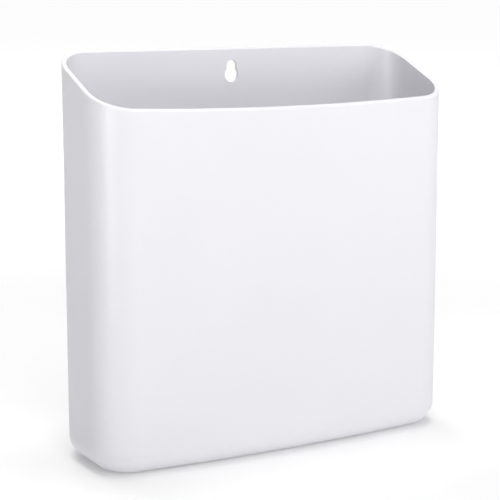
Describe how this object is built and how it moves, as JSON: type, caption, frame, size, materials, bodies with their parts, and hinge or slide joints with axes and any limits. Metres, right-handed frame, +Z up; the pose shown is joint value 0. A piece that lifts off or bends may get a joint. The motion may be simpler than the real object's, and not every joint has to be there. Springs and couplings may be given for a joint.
{
  "type": "wall-hung waste bin",
  "caption": "Shallow open-top wall-hung plastic bin with a tall flat back, a rim that slopes down to a bowed front, rounded corners and a keyhole to hang it by.",
  "frame": {"origin": "on the surface that the bin stands on, under the middle of its bounding box", "axes": "+Z up, +Y towards the wall that it hangs on, the bowed front faces -Y, +X to the right of someone facing the front"},
  "size_m": [0.25, 0.082, 0.2516],
  "materials": {
    "bin_plastic": "satin white moulded plastic",
    "pad_rubber": "translucent grey soft rubber",
    "pad_adhesive": "clear adhesive film"
  },
  "bodies": {
    "root": {"bin_shell": "bin_plastic", "wall_pad_upper_left": "pad_rubber", "wall_pad_upper_right": "pad_rubber", "wall_pad_lower_left": "pad_rubber", "wall_pad_lower_right": "pad_rubber", "pad_adhesive_upper_left": "pad_adhesive", "pad_adhesive_upper_right": "pad_adhesive", "pad_adhesive_lower_left": "pad_adhesive", "pad_adhesive_lower_right": "pad_adhesive"}
  },
  "joints": []
}
